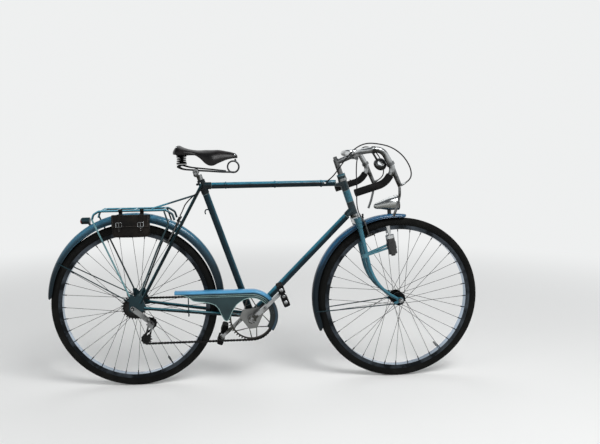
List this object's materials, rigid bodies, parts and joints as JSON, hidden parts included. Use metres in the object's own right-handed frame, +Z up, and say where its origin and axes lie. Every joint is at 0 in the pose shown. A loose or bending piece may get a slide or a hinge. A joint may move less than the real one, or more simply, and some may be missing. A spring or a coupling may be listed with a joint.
{
  "type": "bicycle",
  "caption": "Diamond-frame sports bicycle with drop bar, mudguards, chain guard, rear derailleur, block pedals, carrier with tool bag, lamps, bottle dynamo and bell.",
  "frame": {"origin": "the sitting point on top of the saddle, where a rider holds the machine", "axes": "+X forward, +Y to the rider's left, +Z up; both wheels stand on z = -1.000"},
  "size_m": [1.8417, 0.431, 1.019],
  "materials": {
    "frame_enamel": "worn teal blue enamel",
    "chrome": "aged chrome plating",
    "nickel_rim": "dull nickel plating",
    "dark_steel": "darkened steel",
    "drive_steel": "oiled dark steel",
    "silver_alloy": "satin",
    "tyre_rubber": "matt black rubber",
    "black_rubber": "matt black rubber",
    "dark_leather": "polished dark brown leather",
    "lamp_glass": "ribbed clear glass",
    "cable_cover": "black cable covering"
  },
  "bodies": {
    "frame": {"head_tube": "frame_enamel", "top_tube": "frame_enamel", "down_tube": "frame_enamel", "seat_tube": "frame_enamel", "bottom_bracket": "frame_enamel", "dropouts": "frame_enamel", "chainstays": "frame_enamel", "seatstays": "frame_enamel", "headset": "chrome", "rear_axle": "dark_steel", "chain": "drive_steel", "rear_mudguard": "frame_enamel", "rear_mudguard_stays": "dark_steel", "carrier": "dark_steel", "carrier_legs": "dark_steel", "tool_bag": "dark_leather", "rear_lamp": "chrome", "seat_post": "chrome", "saddle_cover": "dark_leather", "saddle_rails": "dark_steel", "saddle_springs": "dark_steel", "chain_guard": "frame_enamel", "derailleur_pulleys": "drive_steel", "derailleur": "silver_alloy", "rear_brake": "chrome", "rear_brake_cable": "cable_cover"},
    "steering": {"fork": "frame_enamel", "front_axle": "dark_steel", "handlebar": "chrome", "stem": "chrome", "left_grip": "black_rubber", "right_grip": "black_rubber", "left_brake_lever": "chrome", "right_brake_lever": "chrome", "front_mudguard": "frame_enamel", "front_mudguard_stays": "dark_steel", "front_brake": "chrome", "headlamp": "chrome", "headlamp_lens": "lamp_glass", "dynamo": "silver_alloy", "bell": "chrome", "front_brake_cable": "cable_cover", "rear_brake_cable_loop": "cable_cover"},
    "front_wheel": {"front_tyre": "tyre_rubber", "front_rim": "nickel_rim", "front_hub": "dark_steel"},
    "rear_wheel": {"rear_tyre": "tyre_rubber", "rear_rim": "nickel_rim", "rear_hub": "dark_steel"},
    "freewheel": {"freewheel": "drive_steel"},
    "crankset": {"crank_axle": "drive_steel", "chainring": "drive_steel", "right_crank": "drive_steel", "left_crank": "drive_steel"},
    "right_pedal": {"right_pedal": "black_rubber"},
    "left_pedal": {"left_pedal": "black_rubber"}
  },
  "joints": [
    {"name": "steering", "type": "hinge", "parent": "frame", "child": "steering", "pos_m": [0.61901, 0, -0.21568], "axis": [-0.3256, 0, 0.9455], "range_deg": [-60, 60], "deforming": ["rear_brake_cable_loop"]},
    {"name": "front_wheel_spin", "type": "hinge", "parent": "steering", "child": "front_wheel", "pos_m": [0.83202, 0, -0.65], "axis": [0, 1, 0], "continuous": true},
    {"name": "rear_wheel_spin", "type": "hinge", "parent": "frame", "child": "rear_wheel", "pos_m": [-0.29998, 0, -0.65], "axis": [0, 1, 0], "continuous": true},
    {"name": "crank_spin", "type": "hinge", "parent": "frame", "child": "crankset", "pos_m": [0.19402, 0, -0.708], "axis": [0, 1, 0], "continuous": true},
    {"name": "freewheel_spin", "type": "hinge", "parent": "frame", "child": "freewheel", "pos_m": [-0.29998, 0, -0.65], "axis": [0, 1, 0], "continuous": true},
    {"name": "right_pedal_spin", "type": "hinge", "parent": "crankset", "child": "right_pedal", "pos_m": [0.32035, 0, -0.59425], "axis": [0, 1, 0], "continuous": true},
    {"name": "left_pedal_spin", "type": "hinge", "parent": "crankset", "child": "left_pedal", "pos_m": [0.06768, 0, -0.82175], "axis": [0, 1, 0], "continuous": true}
  ],
  "couplings": [
    {"joint": "freewheel_spin", "follows": "crank_spin", "ratio": 2.4}
  ]
}
